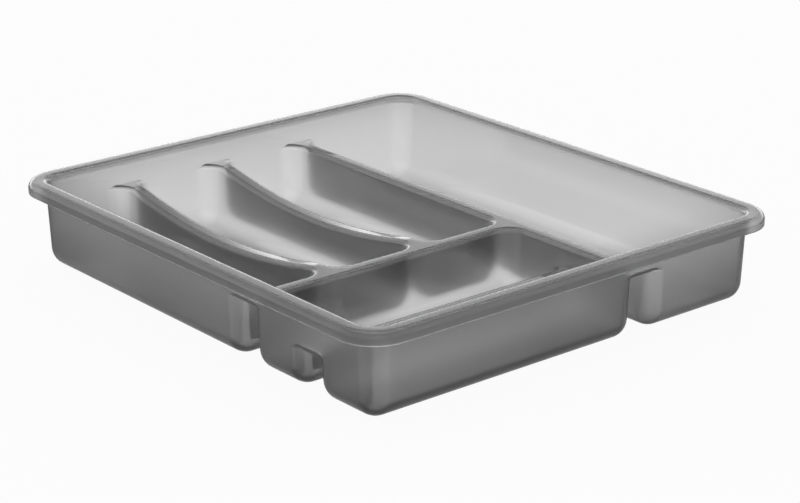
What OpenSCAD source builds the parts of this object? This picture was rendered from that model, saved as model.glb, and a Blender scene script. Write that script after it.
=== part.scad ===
// Drawer tray for cutlery, moulded in one piece from thin translucent plastic.
// Five compartments hang from a common collar, and a rim with a turned-down lip
// runs round the top. The pieces below are the regions of that one moulding.
// Frame: X to the right, Y to the back, Z up, origin under the middle of the tray.

/* [Tray] */
// Width over the rim, left to right
tray_w = 360; // [340:1:420]
// Depth over the rim, front to back
tray_d = 400; // [370:1:460]
// Height from the table to the top of the rim
tray_h = 64; // [60:1:80]
// Thickness of the compartment walls and floors
wall = 1.8; // [1.4:0.1:2.2]
// Lean of every wall from upright, in degrees
draft = 2.3; // [1:0.1:2.6]
// Inside corner radius of the compartments, measured at crest height
corner_r = 13.2; // [13.2:0.1:15]
// Inside fillet between a wall and its floor
floor_r = 11.7; // [6:0.1:11.7]

/* [Rim] */
// Overhang of the rim past the outer face of the wall
rim_over = 12; // [10.5:0.5:16]
// Height of the turned-down lip
lip_h = 9; // [7:0.5:11]
// Rounding along the outer edge of the rim
rim_outer_r = 5; // [3:0.5:6]
// Rounding along the inner edge of the rim
rim_inner_r = 4; // [3:0.5:5]

/* [Collar] */
// Set-back of the collar from the compartment walls
step = 0.3; // [0.2:0.05:0.5]
// Depth of the rebate that the collar stands in, below the crest rounding
rebate = 1; // [0.6:0.1:2]

/* [Dividers] */
// Height of the divider crests above the table
crest_z = 45.5; // [42:0.5:48]
// Rounding of each crest edge
crest_r = 4; // [3:0.1:4.2]
// Distance between the two wall faces of a divider, at crest height
crest_w = 12; // [8.6:0.1:14]
// Middle of the first dipped divider, from the middle of the tray
first_x = -94.5; // [-100:0.5:-85]
// Middle of the second dipped divider
second_x = -15.5; // [-25:0.5:-5]
// Middle of the divider beside the long compartment
long_x = 62; // [55:0.5:90]
// Middle of the divider behind the front compartment
cross_y = -58.5; // [-70:0.5:-45]

/* [Dips] */
// Depth of the hollow along the two dipped dividers
dip_depth = 11.2; // [4:0.1:14]
// Level crest left between a hollow and the corner of its compartment
dip_margin = 3; // [1:0.5:20]

/* [Ridge] */
// Middle of the low ridge across the front compartment
ridge_y = -124; // [-130:0.5:-115]
// Height of the ridge above the table
ridge_z = 30.5; // [22:0.5:33]

/* [Hidden] */
// Each outline is drawn in section: x runs outwards from the corner axis, y is height.
$fn = 72;
// Facets of the long arcs in the dipped dividers, for a full turn
long_arc_fn = 720;
plastic = [0.42, 0.42, 0.43, 0.85];

// Half of a divider, and the reach from a corner axis to the middle of the divider
half_crest = crest_w / 2;
cell_reach = corner_r + half_crest;
// Share of a side that the stretch from each of its corners covers
past_middle = 0.6;
// Thickness of the collar and of the rim, which stay flush with the walls outside
collar_t = wall - step;
// Where the collar stands on the compartments, and where the rim stands on the collar
collar_z = crest_z - crest_r - rebate;
lip_z = tray_h - lip_h;
// Where the upper walls of the front compartment stand on its two cups
cup_z = ridge_z - crest_r - rebate;

// Distance of a wall face from its corner axis at height z, moved d to the outside
function wall_x(z, d) = corner_r + d / cos(draft) - (crest_z - z) * tan(draft);
// Outward normal of a leaning wall
wall_n = [cos(draft), -sin(draft)];
// Centre of the floor fillet, and of the rounding under a crest of height top
floor_c = [wall_x(wall + floor_r, -floor_r), wall + floor_r];
function crest_c(top) = [wall_x(top - crest_r, crest_r), top - crest_r];
// Overlap between a level floor and the level foot of the fillet round it
box_over = floor_c.x / 2;

// A length kept to the hundredth, as on a drawing
function hundredth(v) = round(v * 100) / 100;

// Corner axes, as [left, right, front, back]
rim_reach = hundredth(wall_x(tray_h, wall) + rim_over);
axis_x = tray_w / 2 - rim_reach;
axis_y = tray_d / 2 - rim_reach;
tray_axes = [-axis_x, axis_x, -axis_y, axis_y];
left_axes = [-axis_x, first_x - cell_reach, cross_y + cell_reach, axis_y];
middle_axes = [first_x + cell_reach, second_x - cell_reach, cross_y + cell_reach, axis_y];
inner_axes = [second_x + cell_reach, long_x - cell_reach, cross_y + cell_reach, axis_y];
long_axes = [long_x + cell_reach, axis_x, -axis_y, axis_y];
front_axes = [-axis_x, long_x - cell_reach, -axis_y, cross_y - cell_reach];
rear_cup_axes = [-axis_x, long_x - cell_reach, ridge_y + cell_reach, cross_y - cell_reach];
front_cup_axes = [-axis_x, long_x - cell_reach, -axis_y, ridge_y - cell_reach];

// The hollow of a dipped divider: one long arc that meets the level crest at dip_angle
dip_side = axis_y - cross_y - cell_reach;
dip_len = dip_side - 2 * dip_margin;
dip_angle = 2 * atan(2 * dip_depth / dip_len);
dip_r = dip_len / 2 / sin(dip_angle);

// Air inside a compartment and over the level crest round it, in section, grown outwards by d
module pocket(top, d) {
    crest = crest_c(top);
    difference() {
        union() {
            polygon([[0, wall - d], [floor_c.x, wall - d], floor_c, floor_c + (floor_r + d) * wall_n,
                     crest - (crest_r - d) * wall_n, crest, [crest.x, top - d], [cell_reach, top - d],
                     [cell_reach, tray_h], [0, tray_h]]);
            intersection() {
                translate(floor_c) circle(floor_r + d);
                square([tray_w, tray_h]);
            }
        }
        translate(crest) circle(crest_r - d);
    }
}

// Floor, wall and rolled edge of a compartment, in section
module skin(top, inner) {
    difference() {
        pocket(top, wall);
        pocket(top, inner);
    }
}

// Runs a section once round four corner axes: at each corner a quarter turn and a stretch along
// both its sides, which overlaps the stretch from the next corner
module loop(axes) {
    for (corner = corners_of(axes))
        place(corner) {
            rotate_extrude(angle = 90) children();
            run(past_middle * corner[3]) children();
            rotate(90) mirror([0, 1, 0]) run(past_middle * corner[4]) children();
        }
}

// Corner points with their turn, the length of the side that starts there and of the side that
// ends there, from the right side on
right_side = 0;
left_side = 2;
function corners_of(axes) =
    let (wide = axes[1] - axes[0], deep = axes[3] - axes[2]) [
        [axes[1], axes[3], 0, deep, wide],
        [axes[0], axes[3], 90, wide, deep],
        [axes[0], axes[2], 180, deep, wide],
        [axes[1], axes[2], 270, wide, deep]
    ];

module place(side) {
    translate([side[0], side[1], 0]) rotate(side[2]) children();
}

// Stretches a section straight along its side
module run(length) {
    rotate([90, 0, 0]) linear_extrude(length) children();
}

// Box between four corner axes, which overlaps what runs round them
module middle_box(axes, z0, z1) {
    translate([axes[0] - box_over, axes[2] - box_over, z0])
        cube([axes[1] - axes[0] + 2 * box_over, axes[3] - axes[2] + 2 * box_over, z1 - z0]);
}

// Space inside the walls that stand on a pair of axes, from z0 to the rim
module inside(axes, z0, d) {
    loop(axes) polygon([[0, z0], [wall_x(z0, d), z0], [wall_x(tray_h, d), tray_h], [0, tray_h]]);
    middle_box(axes, z0, tray_h);
}

// All that lies outside those walls
module outside(axes, z0, d) {
    difference() {
        translate([-tray_w, -tray_d, z0]) cube([2 * tray_w, 2 * tray_d, tray_h - z0]);
        inside(axes, z0, d);
    }
}

// Level plate over the middles of the dividers, which overlaps the level part of the rolled edges
module crest_plate(axes, top, inner) {
    hole_r = (crest_c(top).x + cell_reach) / 2;
    difference() {
        translate([axes[0] - cell_reach, axes[2] - cell_reach, top - wall])
            cube([axes[1] - axes[0] + 2 * cell_reach, axes[3] - axes[2] + 2 * cell_reach, wall - inner]);
        loop(axes) translate([0, top - 2 * wall]) square([hole_r, 4 * wall]);
        middle_box(axes, top - 2 * wall, top + 2 * wall);
    }
}

// One compartment: swept walls with rolled edges, floor and crest plate
module compartment(axes, top = crest_z, inner = 0) {
    loop(axes) skin(top, inner);
    middle_box(axes, 0, wall - inner);
    crest_plate(axes, top, inner);
}

// Wall plane of a side: x through the wall, y along the hollow, z up the lean from the edge's path
module wall_plane(side) {
    crest = crest_c(crest_z);
    place(side) translate([crest.x, dip_margin - side[3], crest.y]) rotate([0, draft, 0]) children();
}

// Mitred space over a hollow, from z0 up, drawn along and up the wall plane
module mitre_room(z0) {
    lean = tan(dip_angle / 2);
    polygon([[z0 * lean, z0], [tray_h * lean, tray_h],
             [dip_len - tray_h * lean, tray_h], [dip_len - z0 * lean, z0]]);
}

// All the space above a dipped path
module dip_room() {
    intersection() {
        mitre_room(-2 * dip_depth);
        translate([dip_len / 2, dip_r - dip_depth]) circle(dip_r, $fn = long_arc_fn);
    }
}

// Cuts through a wall, across its plane
module through_wall() {
    translate([-2 * crest_r, 0, 0]) rotate([90, 0, 90]) linear_extrude(4 * crest_r) children();
}

// Material under a rolled edge, in section about the centre of its rounding, drawn in by d
module edge_outline(d) {
    top = (crest_r - d) * [-sin(draft), cos(draft)];
    circle(crest_r - d);
    polygon([[0, 0], top, top + crest_w * [cos(draft), sin(draft)], [crest_w, 0]]);
}

// Rolled edge in section: x through the wall, y up from the edge's path
module edge_ring() {
    intersection() {
        difference() {
            edge_outline(0);
            edge_outline(wall);
        }
        translate([-2 * crest_r, 0]) square([4 * crest_r, 2 * crest_r]);
    }
}

// Left half of a dipped edge, with the middle of its divider at x = 0: the rolled edge
// turned about an axis high above, which stands square to the leaning wall
module half_edge() {
    side = [-cell_reach, axis_y, 0, dip_side];
    intersection() {
        wall_plane(side) translate([0, dip_len / 2, dip_r - dip_depth]) rotate([0, 90, 0])
            rotate(-2 * dip_angle) rotate_extrude(angle = 4 * dip_angle, $fn = long_arc_fn)
                translate([dip_r, 0]) rotate(90) edge_ring();
        wall_plane(side) through_wall() mitre_room(-2 * dip_depth);
        translate([-cell_reach, -tray_d, 0]) cube([cell_reach, 2 * tray_d, tray_h]);
    }
}

// Rolled edge along the dipped divider at x
module dipped_edge(x) {
    translate([x, 0, 0])
        for (half = [0, 1]) mirror([half, 0, 0]) half_edge();
}

// Compartment trimmed where the collar takes over, and hollowed along its dipped sides
module hung_compartment(axes, dips = []) {
    difference() {
        compartment(axes);
        outside(tray_axes, collar_z, step);
        for (dip = dips) wall_plane(corners_of(axes)[dip]) through_wall() dip_room();
    }
}

// Cup under the front compartment, trimmed where the upper walls take over
module cup(axes) {
    difference() {
        compartment(axes, ridge_z, -step);
        outside(front_axes, cup_z, 0);
    }
}

// Material under the rim's top face, in section, drawn in by d
module rim_outline(d) {
    bottom = lip_z - (d > 0 ? lip_h : 0);
    inner_c = [wall_x(tray_h - rim_inner_r, step + rim_inner_r), tray_h - rim_inner_r];
    outer_c = [rim_reach - rim_outer_r, tray_h - rim_outer_r];
    polygon([[wall_x(bottom, step + d), bottom], inner_c - (rim_inner_r - d) * wall_n, inner_c,
             [inner_c.x, tray_h - d], [outer_c.x, tray_h - d], outer_c,
             [rim_reach - d, outer_c.y], [rim_reach - d, bottom]]);
    translate(inner_c) circle(rim_inner_r - d);
    translate(outer_c) circle(rim_outer_r - d);
}

// Rim: a channel open below, with its inner leg on the collar and its outer leg as the lip
module rim() {
    color(plastic) loop(tray_axes) difference() {
        rim_outline(0);
        rim_outline(collar_t);
    }
}

// Collar: the common wall between the compartments and the rim
module collar() {
    color(plastic) loop(tray_axes)
        polygon([[wall_x(collar_z, step), collar_z], [wall_x(collar_z, wall), collar_z],
                 [wall_x(lip_z, wall), lip_z], [wall_x(lip_z, step), lip_z]]);
}

// Left compartment, with a dipped divider on its right
module left_compartment() {
    color(plastic) hung_compartment(left_axes, [right_side]);
}

// Middle compartment, between the two dipped dividers
module middle_compartment() {
    color(plastic) hung_compartment(middle_axes, [right_side, left_side]);
}

// Inner compartment, with a dipped divider on its left
module inner_compartment() {
    color(plastic) hung_compartment(inner_axes, [left_side]);
}

// Long compartment along the right side
module long_compartment() {
    color(plastic) hung_compartment(long_axes);
}

// Upper walls of the front compartment, which stand on its two cups
module front_compartment() {
    color(plastic) intersection() {
        hung_compartment(front_axes);
        translate([-tray_w, -tray_d, cup_z]) cube([2 * tray_w, 2 * tray_d, tray_h]);
    }
}

// Cup behind the low ridge of the front compartment
module rear_cup() {
    color(plastic) cup(rear_cup_axes);
}

// Cup in front of the low ridge
module front_cup() {
    color(plastic) cup(front_cup_axes);
}

// Rolled edge along the first dipped divider
module first_edge() {
    color(plastic) dipped_edge(first_x);
}

// Rolled edge along the second dipped divider
module second_edge() {
    color(plastic) dipped_edge(second_x);
}

rim();
collar();
left_compartment();
middle_compartment();
inner_compartment();
long_compartment();
front_compartment();
rear_cup();
front_cup();
first_edge();
second_edge();
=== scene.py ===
import math

import bpy
from mathutils import Matrix, Vector
from mathutils.geometry import delaunay_2d_cdt


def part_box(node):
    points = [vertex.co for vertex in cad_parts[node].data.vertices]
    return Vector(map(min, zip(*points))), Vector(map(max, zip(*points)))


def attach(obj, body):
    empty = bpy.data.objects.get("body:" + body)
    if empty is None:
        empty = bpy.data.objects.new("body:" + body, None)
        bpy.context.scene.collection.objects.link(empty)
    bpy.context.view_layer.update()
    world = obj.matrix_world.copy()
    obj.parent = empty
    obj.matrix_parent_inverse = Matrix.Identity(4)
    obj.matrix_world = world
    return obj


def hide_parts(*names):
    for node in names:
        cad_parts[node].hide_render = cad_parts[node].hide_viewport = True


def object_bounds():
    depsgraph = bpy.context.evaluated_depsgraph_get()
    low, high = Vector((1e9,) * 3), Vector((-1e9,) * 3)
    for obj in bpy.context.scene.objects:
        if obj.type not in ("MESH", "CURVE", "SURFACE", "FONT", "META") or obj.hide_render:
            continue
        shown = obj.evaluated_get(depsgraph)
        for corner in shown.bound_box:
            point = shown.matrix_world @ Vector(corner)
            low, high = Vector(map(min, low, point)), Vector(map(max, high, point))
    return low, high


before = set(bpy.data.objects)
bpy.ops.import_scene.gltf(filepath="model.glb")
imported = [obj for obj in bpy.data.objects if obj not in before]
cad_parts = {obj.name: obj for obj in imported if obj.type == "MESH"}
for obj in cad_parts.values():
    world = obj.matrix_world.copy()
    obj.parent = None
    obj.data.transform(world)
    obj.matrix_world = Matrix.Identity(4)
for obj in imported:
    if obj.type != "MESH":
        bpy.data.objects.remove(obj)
cad_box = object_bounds()

# Sizes of the moulding, in millimetres, in section: reach runs outwards from a corner axis
MM = 0.001
WALL = 1.8
DRAFT = math.radians(2.3)
CORNER_R = 13.2
FLOOR_R = 11.7
CREST_R = 4.0
CREST_W = 12.0
RIM_INNER_R = 4.0
RIM_OUTER_R = 5.0
LIP_EDGE_R = 0.5
DIP_DEPTH = 11.2
DIP_MARGIN = 3.0
# Depth over which a hollow eases into the level crest
DIP_EASE = 0.3
# Set-back between faces that are flush in the moulding, so that no two outlines touch
FLUSH = 0.02
# Height by which a wall's first whole outline stands above the crests that end on the wall
ABOVE_CREST = 1.0

# Fineness of the mesh
ARC_STEPS = 12
SECTION_STEPS = 8
LIP_STEPS = 4
SIDE_STEP = 8.0
HALVINGS = 40
MERGE_DISTANCE = 1e-5
SHARP_ANGLE = math.radians(35)

# Plastic
SMOKE_DENSITY = 180.0
IOR = 1.5
COAT, COAT_ROUGHNESS = 0.5, 0.1
# Roughness and strength of the grain, for the polished inside and for the satin outside
ROUGHNESS = (0.05, 0.38)
RELIEF = (0.002, 0.04)
RELIEF_DEPTH = 0.0002
GRAIN_SCALE, GRAIN_DETAIL = 900.0, 1.0
# Slight unevenness: the least and the most that it adds to the roughness, and gives the base colour
CLOUD_SCALE, CLOUD_DETAIL = 14.0, 3.0
CLOUD_ROUGHNESS = (-0.015, 0.015)
CLOUD_TINT = (0.97, 1.0)

# Floor, in metres
FLOOR_SIZE = 8.0
FLOOR_DROP = 0.0002
FLOOR_GREY = 0.95
FLOOR_ROUGHNESS = 0.9
# Share of plain white in what the camera sees of the floor; the rest carries the shadow
FLOOR_WHITE = 0.94
# The floor as seen through the plastic has a painted glow, with painted shade at the tray's left and front feet:
# it is dark there and grows light between these distances inwards and outwards from them. The painted glow
# also grows light inwards from a line that lies LIT_PAST beyond the right and back edges
INNER_FADE = (0.01, 0.15)
OUTER_FADE = (-0.015, -0.08)
FAR_FADE = (0.0, 0.16)
LIT_PAST = 0.29
# What is left of the painted glow for a look through three walls or more, by the surfaces crossed: painted shade
# for such deep looks
DEEP_SHARE = 0.72
DEEP_CROSSINGS = 5

# Tones of the studio, each as (sine of the elevation, grey) stops. Those below the horizon show
# only in reflections, because the floor hides them from everything else
BEHIND = ((-1.0, 0.5), (-0.45, 0.55), (-0.25, 0.25), (-0.03, 0.15), (0.0, 2.1), (0.15, 2.0),
          (0.31, 1.0), (0.45, 0.85), (0.6, 0.65), (0.75, 0.5), (1.0, 0.45))
BESIDE = ((-1.0, 0.5), (-0.7, 0.5), (-0.5, 0.85), (-0.39, 0.9), (-0.35, 0.35), (-0.04, 0.35),
          (0.02, 1.0), (0.5, 0.9), (0.75, 0.5), (1.0, 0.45))
IN_FRONT = ((-1.0, 1.6), (-0.7, 2.8), (-0.5, 4.4), (-0.41, 4.4), (-0.375, 0.3), (-0.05, 0.3),
            (0.0, 0.5), (0.5, 0.6), (1.0, 0.45))
TO_THE_LEFT = ((-1.0, 0.5), (-0.7, 0.5), (-0.5, 1.5), (-0.41, 2.4), (-0.375, 0.3), (-0.05, 0.3),
               (0.0, 0.5), (0.5, 0.6), (1.0, 0.45))
FRONT_WAY = (-0.524, -0.852, 0.0)
LEFT_WAY = (-1.0, 0.0, 0.0)
# Each of the zones takes over from those before it where a direction turns towards the zone's own
# way, between two cosines
ZONES = ((BESIDE, FRONT_WAY, (-0.75, -0.5)), (IN_FRONT, FRONT_WAY, (0.06, 0.5)),
         (TO_THE_LEFT, LEFT_WAY, (0.64, 0.76)))
BRIGHTEST = 4.4
# Sockets of a colour mix node: its factor, its two colours and its result
MIX_FACTOR, MIX_FIRST, MIX_SECOND, MIX_RESULT = 0, 6, 7, 2

# Camera at the photo's angle, in pixels, degrees and millimetres
IMAGE_W = 800
FOCAL_PX = 2312.49
AZIMUTH, ELEVATION, ROLL = (math.radians(a) for a in (-39.605, 19.926, -0.109))
DISTANCE = 1677.97
TARGET = Vector((43.93, 41.11, 0))


def box_mm(name):
    low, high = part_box(name)
    return low / MM, high / MM


# Heights and places that the frame gives
TRAY_H = cad_box[1][2] / MM
RIM_HALF_W = cad_box[1][0] / MM
CREST_Z = box_mm("long_compartment")[1].z
RIDGE_Z = box_mm("rear_cup")[1].z
LIP_Z = box_mm("rim")[0].z
FIRST_X = box_mm("left_compartment")[1].x
SECOND_X = box_mm("middle_compartment")[1].x
LONG_X = box_mm("long_compartment")[0].x
CROSS_Y = box_mm("left_compartment")[0].y
RIDGE_Y = box_mm("rear_cup")[0].y


def wall_reach(z, d):
    """Reach of a leaning wall at height z, moved d towards its outer face."""
    return CORNER_R + d / math.cos(DRAFT) - (CREST_Z - z) * math.tan(DRAFT)


# Corner axes, as left, right, front, back
AXIS_X = box_mm("collar")[1].x - wall_reach(LIP_Z, WALL)
AXIS_Y = box_mm("collar")[1].y - wall_reach(LIP_Z, WALL)
CELL = CORNER_R + CREST_W / 2
RIM_REACH = RIM_HALF_W - AXIS_X
TRAY = (-AXIS_X, AXIS_X, -AXIS_Y, AXIS_Y)
LEFT = (-AXIS_X, FIRST_X - CELL, CROSS_Y + CELL, AXIS_Y)
MIDDLE = (FIRST_X + CELL, SECOND_X - CELL, CROSS_Y + CELL, AXIS_Y)
INNER = (SECOND_X + CELL, LONG_X - CELL, CROSS_Y + CELL, AXIS_Y)
LONG = (LONG_X + CELL, AXIS_X, -AXIS_Y, AXIS_Y)
FRONT = (-AXIS_X, LONG_X - CELL, -AXIS_Y, CROSS_Y - CELL)
REAR_CUP = (-AXIS_X, LONG_X - CELL, RIDGE_Y + CELL, CROSS_Y - CELL)
FRONT_CUP = (-AXIS_X, LONG_X - CELL, -AXIS_Y, RIDGE_Y - CELL)


def dip(y):
    """Depth of the hollow in a dipped divider's crest, measured down its wall."""
    half = (AXIS_Y - CROSS_Y - CELL) / 2 - DIP_MARGIN
    middle = (AXIS_Y + CROSS_Y + CELL) / 2
    radius = (half * half + DIP_DEPTH * DIP_DEPTH) / (2 * DIP_DEPTH)
    depth = math.sqrt(radius * radius - (y - middle) ** 2) - (radius - DIP_DEPTH)
    return (depth + math.hypot(depth, DIP_EASE)) / 2


def outline(axes, reach, z, dipped=()):
    """One closed outline of points round four corner axes, lowered along its dipped sides."""
    left, right, front, back = axes
    corners = ((right, back, "back"), (left, back, "left"), (left, front, "front"), (right, front, "right"))
    ring = []
    for index, (x, y, side) in enumerate(corners):
        for step in range(ARC_STEPS + 1):
            angle = math.radians(90 * (index + step / ARC_STEPS))
            ring.append(Vector((x + reach * math.cos(angle), y + reach * math.sin(angle), z)))
        normal = Vector((math.cos(angle), math.sin(angle), 0))
        across = Vector((-math.sin(angle), math.cos(angle), 0))
        up_wall = normal * math.sin(DRAFT) + Vector((0, 0, math.cos(DRAFT)))
        length = back - front if side in ("left", "right") else right - left
        steps = max(1, round(length / SIDE_STEP))
        start = ring[-1].copy()
        for step in range(1, steps):
            point = start + across * (length * step / steps)
            if side in dipped:
                point -= up_wall * dip(point.y)
            ring.append(point)
    return ring


def reach_of(axes, point):
    """Distance of a point from the rectangle of the corner axes."""
    left, right, front, back = axes
    return math.hypot(max(left - point.x, point.x - right, 0), max(front - point.y, point.y - back, 0))


def clipped(ring, axes, d):
    """The stretch of an outline that lies inside a parent's wall face, with both ends on that face."""
    def room(point):
        return wall_reach(point.z, d) - reach_of(axes, point)

    def meet(within, beyond):
        for _ in range(HALVINGS):
            middle = (within + beyond) / 2
            if room(middle) > 0:
                within = middle
            else:
                beyond = middle
        return within

    inside = [room(point) > 0 for point in ring]
    if all(inside):
        return ring, True
    count = len(ring)
    first = next(i for i in range(count) if inside[i] and not inside[i - 1])
    last = next(i for i in range(first, first + count) if not inside[(i + 1) % count])
    kept = [ring[i % count] for i in range(first, last + 1)]
    return [meet(kept[0], ring[first - 1]), *kept, meet(kept[-1], ring[(last + 1) % count])], False


def arc(centre, radius, start, end, steps=SECTION_STEPS):
    """Points (reach, z) along an arc in section, from one angle to another."""
    turns = [start + (end - start) * step / steps for step in range(steps + 1)]
    return [(centre[0] + radius * math.cos(t), centre[1] + radius * math.sin(t)) for t in turns]


def floor_section(d):
    """Fillet between a floor and its wall."""
    centre = (wall_reach(WALL + FLOOR_R, -FLOOR_R), WALL + FLOOR_R)
    return arc(centre, FLOOR_R + d, -math.pi / 2, -DRAFT)


def crest_section(top, d):
    """Rolled edge from the wall up to the level crest."""
    centre = (wall_reach(top - CREST_R, CREST_R), top - CREST_R)
    return arc(centre, CREST_R - d, math.pi - DRAFT, math.pi / 2)


def rim_section():
    """Section of the rim: over its top and down the lip, then back inside the channel to the outer face."""
    inner = (wall_reach(TRAY_H - RIM_INNER_R, RIM_INNER_R), TRAY_H - RIM_INNER_R)
    outer = (RIM_REACH - RIM_OUTER_R, TRAY_H - RIM_OUTER_R)
    lip_outside = (RIM_REACH - LIP_EDGE_R, LIP_Z + LIP_EDGE_R)
    lip_inside = (RIM_REACH - WALL + LIP_EDGE_R, LIP_Z + LIP_EDGE_R)
    quarter = math.pi / 2
    top = arc(inner, RIM_INNER_R, math.pi - DRAFT, quarter)
    top += arc(outer, RIM_OUTER_R, quarter, 0)
    top += arc(lip_outside, LIP_EDGE_R, 0, -quarter, LIP_STEPS)
    channel = arc(lip_inside, LIP_EDGE_R, -quarter, -2 * quarter, LIP_STEPS)
    channel += arc(outer, RIM_OUTER_R - WALL, 0, quarter)
    channel += arc(inner, RIM_INNER_R - WALL, quarter, math.pi - DRAFT)
    return top, channel


class Sheet:
    """One side of the shell: outlines seen from above that a triangulation joins."""

    def __init__(self):
        self.points = []
        self.edges = []

    def add(self, run, closed):
        """Adds a run of points with its edges and gives their numbers."""
        start = len(self.points)
        self.points += run
        numbers = list(range(start, len(self.points)))
        self.edges += list(zip(numbers, numbers[1:]))
        if closed:
            self.edges.append((numbers[-1], numbers[0]))
        return numbers

    def pocket(self, axes, top, d, parent, dipped=(), floor=True):
        """A compartment that hangs in its parent's wall. Gives the ends of its crest on that wall."""
        if floor:
            for reach, z in floor_section(d):
                self.add(outline(axes, reach, z), True)
        before = None
        for reach, z in crest_section(top, d):
            run, closed = clipped(outline(axes, reach, z, dipped), parent, d + FLUSH)
            numbers = self.add(run, closed)
            if before is not None:
                self.edges += [(before[0], numbers[0]), (before[-1], numbers[-1])]
            before = None if closed else numbers
        return [before[0], before[-1]]

    def tie(self, ends):
        """Joins each crest end to the nearest end on the other side of its divider."""
        while ends:
            end = ends.pop(0)
            other = min(ends, key=lambda n: (self.points[n] - self.points[end]).length)
            ends.remove(other)
            self.edges.append((end, other))

    def triangulated(self):
        """The sheet's points and triangles, with the numbers that each point had in the sheet."""
        flat = [point.xy for point in self.points]
        spots, _, triangles, origins, _, _ = delaunay_2d_cdt(flat, self.edges, [], 1, MERGE_DISTANCE)
        points = [Vector((spot.x, spot.y, self.points[origin[0]].z)) for spot, origin in zip(spots, origins)]
        return points, triangles, origins


def shell_side(d):
    """Inner side of the shell at d = 0, outer side at d = WALL, with the outline that the rim starts from."""
    sheet = Sheet()
    over_crest = CREST_Z + ABOVE_CREST
    rim_start = sheet.add(outline(TRAY, wall_reach(over_crest, d), over_crest), True)
    hung = d - FLUSH
    ends = sheet.pocket(LEFT, CREST_Z, hung, TRAY, ("right",))
    ends += sheet.pocket(MIDDLE, CREST_Z, hung, TRAY, ("left", "right"))
    ends += sheet.pocket(INNER, CREST_Z, hung, TRAY, ("left",))
    ends += sheet.pocket(LONG, CREST_Z, hung, TRAY)
    ends += sheet.pocket(FRONT, CREST_Z, hung, TRAY, floor=False)
    sheet.tie(ends)
    over_ridge = RIDGE_Z + ABOVE_CREST
    sheet.add(outline(FRONT, wall_reach(over_ridge, hung), over_ridge), True)
    cup = hung - FLUSH
    ends = sheet.pocket(REAR_CUP, RIDGE_Z, cup, FRONT)
    ends += sheet.pocket(FRONT_CUP, RIDGE_Z, cup, FRONT)
    sheet.tie(ends)
    return sheet, rim_start


def shell_mesh():
    """The whole moulding as one closed shell, with its satin side marked."""
    points, faces, satin, borders = [], [], [], []
    for side, d in enumerate((0, WALL)):
        sheet, rim_start = shell_side(d)
        side_points, triangles, origins = sheet.triangulated()
        base = len(points)
        points += side_points
        satin += [side] * len(side_points)
        turned = -1 if side else 1
        faces += [[base + n for n in face[::turned]] for face in triangles]
        place = {n: base + index for index, origin in enumerate(origins) for n in origin}
        borders.append([place[n] for n in rim_start])
    rings = [borders[0]]
    for side, section in enumerate(rim_section()):
        for reach, z in section:
            base = len(points)
            points += outline(TRAY, reach, z)
            satin += [side] * (len(points) - base)
            rings.append(list(range(base, len(points))))
    rings.append(borders[1])
    for near, far in zip(rings, rings[1:]):
        faces += [[near[i], near[i - 1], far[i - 1], far[i]] for i in range(len(near))]
    mesh = bpy.data.meshes.new("tray_shell")
    mesh.from_pydata([point * MM for point in points], [], faces)
    mesh.attributes.new("satin", "FLOAT", "POINT").data.foreach_set("value", satin)
    mesh.validate()
    return mesh


def make_shell():
    """The tray, in place of all the CAD nodes."""
    mesh = shell_mesh()
    shell = bpy.data.objects.new("tray_shell", mesh)
    bpy.context.scene.collection.objects.link(shell)
    mesh.shade_smooth()
    mesh.set_sharp_from_angle(angle=SHARP_ANGLE)
    weighted = shell.modifiers.new("weighted", "WEIGHTED_NORMAL")
    weighted.keep_sharp = True
    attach(shell, "root")
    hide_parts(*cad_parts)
    mesh.materials.append(smoke_plastic())


def node(tree, kind, inputs, **settings):
    """A new shader node. An input that is another node's output is linked, any other is a constant."""
    made = tree.nodes.new(kind)
    for name, value in settings.items():
        setattr(made, name, value)
    for name, value in inputs.items():
        if isinstance(value, bpy.types.NodeSocket):
            tree.links.new(value, made.inputs[name])
        else:
            made.inputs[name].default_value = value
    return made


def calculated(tree, operation, *values):
    """Output of a math node."""
    return node(tree, "ShaderNodeMath", dict(enumerate(values)), operation=operation).outputs[0]


def mapped(tree, value, span=(0.0, 1.0), result=(0.0, 1.0), **settings):
    """Output of a map range node, which keeps to the ends of its result."""
    inputs = {"Value": value, "From Min": span[0], "From Max": span[1], "To Min": result[0], "To Max": result[1]}
    return node(tree, "ShaderNodeMapRange", inputs, **settings).outputs[0]


def smoke_plastic():
    """Smoke-grey plastic, polished inside and satin outside, that darkens with the thickness seen through."""
    material = bpy.data.materials.new("smoke_plastic")
    material.use_nodes = True
    tree = material.node_tree
    shader = tree.nodes["Principled BSDF"]
    shader.inputs["IOR"].default_value = IOR
    shader.inputs["Transmission Weight"].default_value = 1.0
    shader.inputs["Coat Weight"].default_value = COAT
    shader.inputs["Coat Roughness"].default_value = COAT_ROUGHNESS
    smoke = node(tree, "ShaderNodeVolumeAbsorption", {"Color": (0, 0, 0, 1), "Density": SMOKE_DENSITY})
    tree.links.new(smoke.outputs[0], tree.nodes["Material Output"].inputs["Volume"])

    place = node(tree, "ShaderNodeTexCoord", {}).outputs["Object"]
    side = node(tree, "ShaderNodeAttribute", {}, attribute_name="satin").outputs["Fac"]
    cloud = node(tree, "ShaderNodeTexNoise", {"Vector": place, "Scale": CLOUD_SCALE, "Detail": CLOUD_DETAIL}).outputs["Fac"]
    finish = mapped(tree, side, result=ROUGHNESS)
    wear = mapped(tree, cloud, result=CLOUD_ROUGHNESS)
    tree.links.new(calculated(tree, "ADD", finish, wear), shader.inputs["Roughness"])
    tree.links.new(mapped(tree, cloud, result=CLOUD_TINT), shader.inputs["Base Color"])

    grain = node(tree, "ShaderNodeTexNoise", {"Vector": place, "Scale": GRAIN_SCALE, "Detail": GRAIN_DETAIL}).outputs["Fac"]
    strength = mapped(tree, side, result=RELIEF)
    relief = node(tree, "ShaderNodeBump", {"Height": grain, "Strength": strength, "Distance": RELIEF_DEPTH})
    tree.links.new(relief.outputs[0], shader.inputs["Normal"])
    return material


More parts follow.
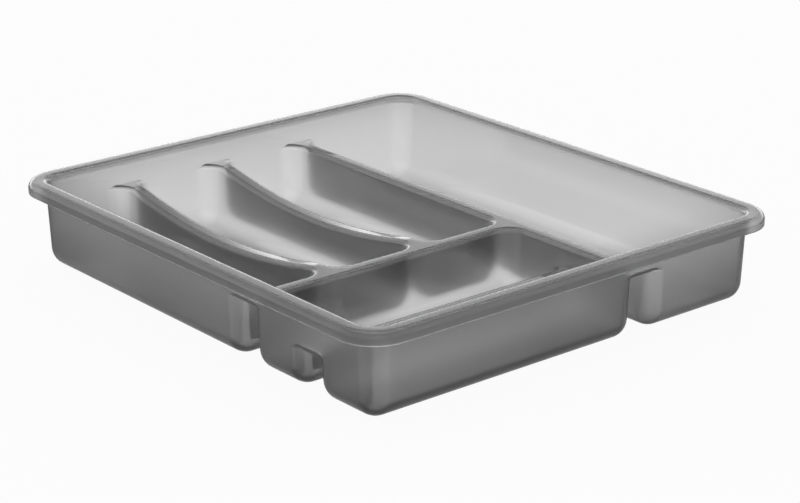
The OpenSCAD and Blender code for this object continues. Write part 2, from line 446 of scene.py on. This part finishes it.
def painted_glow_share(tree, crossings):
    """Painted glow of the floor as seen through the plastic, by place and by the surfaces crossed, with painted
    shade at the tray's left and front feet.
    """
    spot = node(tree, "ShaderNodeNewGeometry", {}).outputs["Position"]
    place = node(tree, "ShaderNodeSeparateXYZ", {0: spot}).outputs
    foot = wall_reach(FLOOR_R, WALL)
    near = calculated(tree, "MINIMUM", calculated(tree, "ADD", place["X"], (AXIS_X + foot) * MM),
                      calculated(tree, "ADD", place["Y"], (AXIS_Y + foot) * MM))
    far = calculated(tree, "MINIMUM", calculated(tree, "SUBTRACT", cad_box[1][0] + LIT_PAST, place["X"]),
                     calculated(tree, "SUBTRACT", cad_box[1][1] + LIT_PAST, place["Y"]))
    # Painted shade: the painted glow darkens towards the tray's left and front feet and stops a little beyond its
    # right and back edges
    painted_shade_at_feet = calculated(tree, "MAXIMUM", mapped(tree, near, INNER_FADE), mapped(tree, near, OUTER_FADE))
    lit = calculated(tree, "MULTIPLY", painted_shade_at_feet, mapped(tree, far, FAR_FADE))
    # Painted shade: looks through three walls or more see a dimmer painted glow
    few_walls = calculated(tree, "LESS_THAN", crossings, DEEP_CROSSINGS)
    return calculated(tree, "MULTIPLY", lit, mapped(tree, few_walls, result=(DEEP_SHARE, 1.0)))


def paper():
    """Pale matt paper, white to the camera but for a faint shadow, with a painted glow when seen through the
    plastic that is painted darker at the tray's feet.
    """
    material = bpy.data.materials.new("paper")
    material.use_nodes = True
    tree = material.node_tree
    paint = tree.nodes["Principled BSDF"]
    paint.inputs["Base Color"].default_value = (FLOOR_GREY, FLOOR_GREY, FLOOR_GREY, 1)
    paint.inputs["Roughness"].default_value = FLOOR_ROUGHNESS
    paint.inputs["Specular IOR Level"].default_value = 0.0
    path = node(tree, "ShaderNodeLightPath", {}).outputs
    # Painted glow: the paper emits light to rays that come through the plastic
    strength = calculated(tree, "MAXIMUM", painted_glow_share(tree, path["Transmission Depth"]), path["Is Camera Ray"])
    glow = node(tree, "ShaderNodeEmission", {"Strength": strength})
    share = calculated(tree, "MULTIPLY_ADD", path["Is Camera Ray"], FLOOR_WHITE, path["Is Transmission Ray"])
    mix = node(tree, "ShaderNodeMixShader", {0: share, 1: paint.outputs[0], 2: glow.outputs[0]})
    tree.links.new(mix.outputs[0], tree.nodes["Material Output"].inputs["Surface"])
    return material


def make_floor():
    """Plain pale floor, which reflections don't see."""
    mesh = bpy.data.meshes.new("floor")
    s = FLOOR_SIZE
    mesh.from_pydata([(-s, -s, 0), (s, -s, 0), (s, s, 0), (-s, s, 0)], [], [(0, 1, 2, 3)])
    mesh.materials.append(paper())
    floor = bpy.data.objects.new("floor", mesh)
    floor.location.z = -FLOOR_DROP
    floor.visible_glossy = False
    bpy.context.scene.collection.objects.link(floor)


def tones(tree, height, stops):
    """Colour ramp over the height, from (sine of the elevation, grey) stops."""
    made = node(tree, "ShaderNodeValToRGB", {"Fac": height})
    elements = made.color_ramp.elements
    while len(elements) < len(stops):
        elements.new(0.5)
    for element, (sine, grey) in zip(elements, stops):
        element.position = (sine + 1) / 2
        element.color = (grey / BRIGHTEST, grey / BRIGHTEST, grey / BRIGHTEST, 1)
    return made.outputs["Color"]


def make_world():
    """Studio round the tray: bright low behind, darker overhead, a bright sweep low in front."""
    world = bpy.data.worlds.new("studio")
    world.use_nodes = True
    tree = world.node_tree
    way = node(tree, "ShaderNodeTexCoord", {}).outputs["Generated"]
    height = mapped(tree, node(tree, "ShaderNodeSeparateXYZ", {0: way}).outputs["Z"], (-1.0, 1.0))
    shown = tones(tree, height, BEHIND)
    for stops, middle, edge in ZONES:
        facing = node(tree, "ShaderNodeVectorMath", {0: way, 1: middle}, operation="DOT_PRODUCT").outputs["Value"]
        share = mapped(tree, facing, edge, interpolation_type="SMOOTHSTEP")
        inputs = {MIX_FACTOR: share, MIX_FIRST: shown, MIX_SECOND: tones(tree, height, stops)}
        shown = node(tree, "ShaderNodeMix", inputs, data_type="RGBA").outputs[MIX_RESULT]
    tree.links.new(shown, tree.nodes["Background"].inputs["Color"])
    tree.nodes["Background"].inputs["Strength"].default_value = BRIGHTEST
    bpy.context.scene.world = world


def make_camera():
    """Camera that looks at the target from the photo's angle."""
    level = math.cos(ELEVATION)
    back = Vector((math.sin(AZIMUTH) * level, -math.cos(AZIMUTH) * level, math.sin(ELEVATION)))
    right = Vector((math.cos(AZIMUTH), math.sin(AZIMUTH), 0))
    up = back.cross(right)
    rolled_right = math.cos(ROLL) * right + math.sin(ROLL) * up
    rolled_up = math.cos(ROLL) * up - math.sin(ROLL) * right
    lens = bpy.data.cameras.new("camera")
    lens.lens = FOCAL_PX / IMAGE_W * lens.sensor_width
    camera = bpy.data.objects.new("camera", lens)
    turn = Matrix((rolled_right, rolled_up, back)).transposed().to_4x4()
    camera.matrix_world = Matrix.Translation((TARGET + back * DISTANCE) * MM) @ turn
    bpy.context.scene.collection.objects.link(camera)
    bpy.context.scene.camera = camera


make_shell()
make_floor()
make_world()
make_camera()
bpy.context.scene.view_settings.view_transform = "Standard"
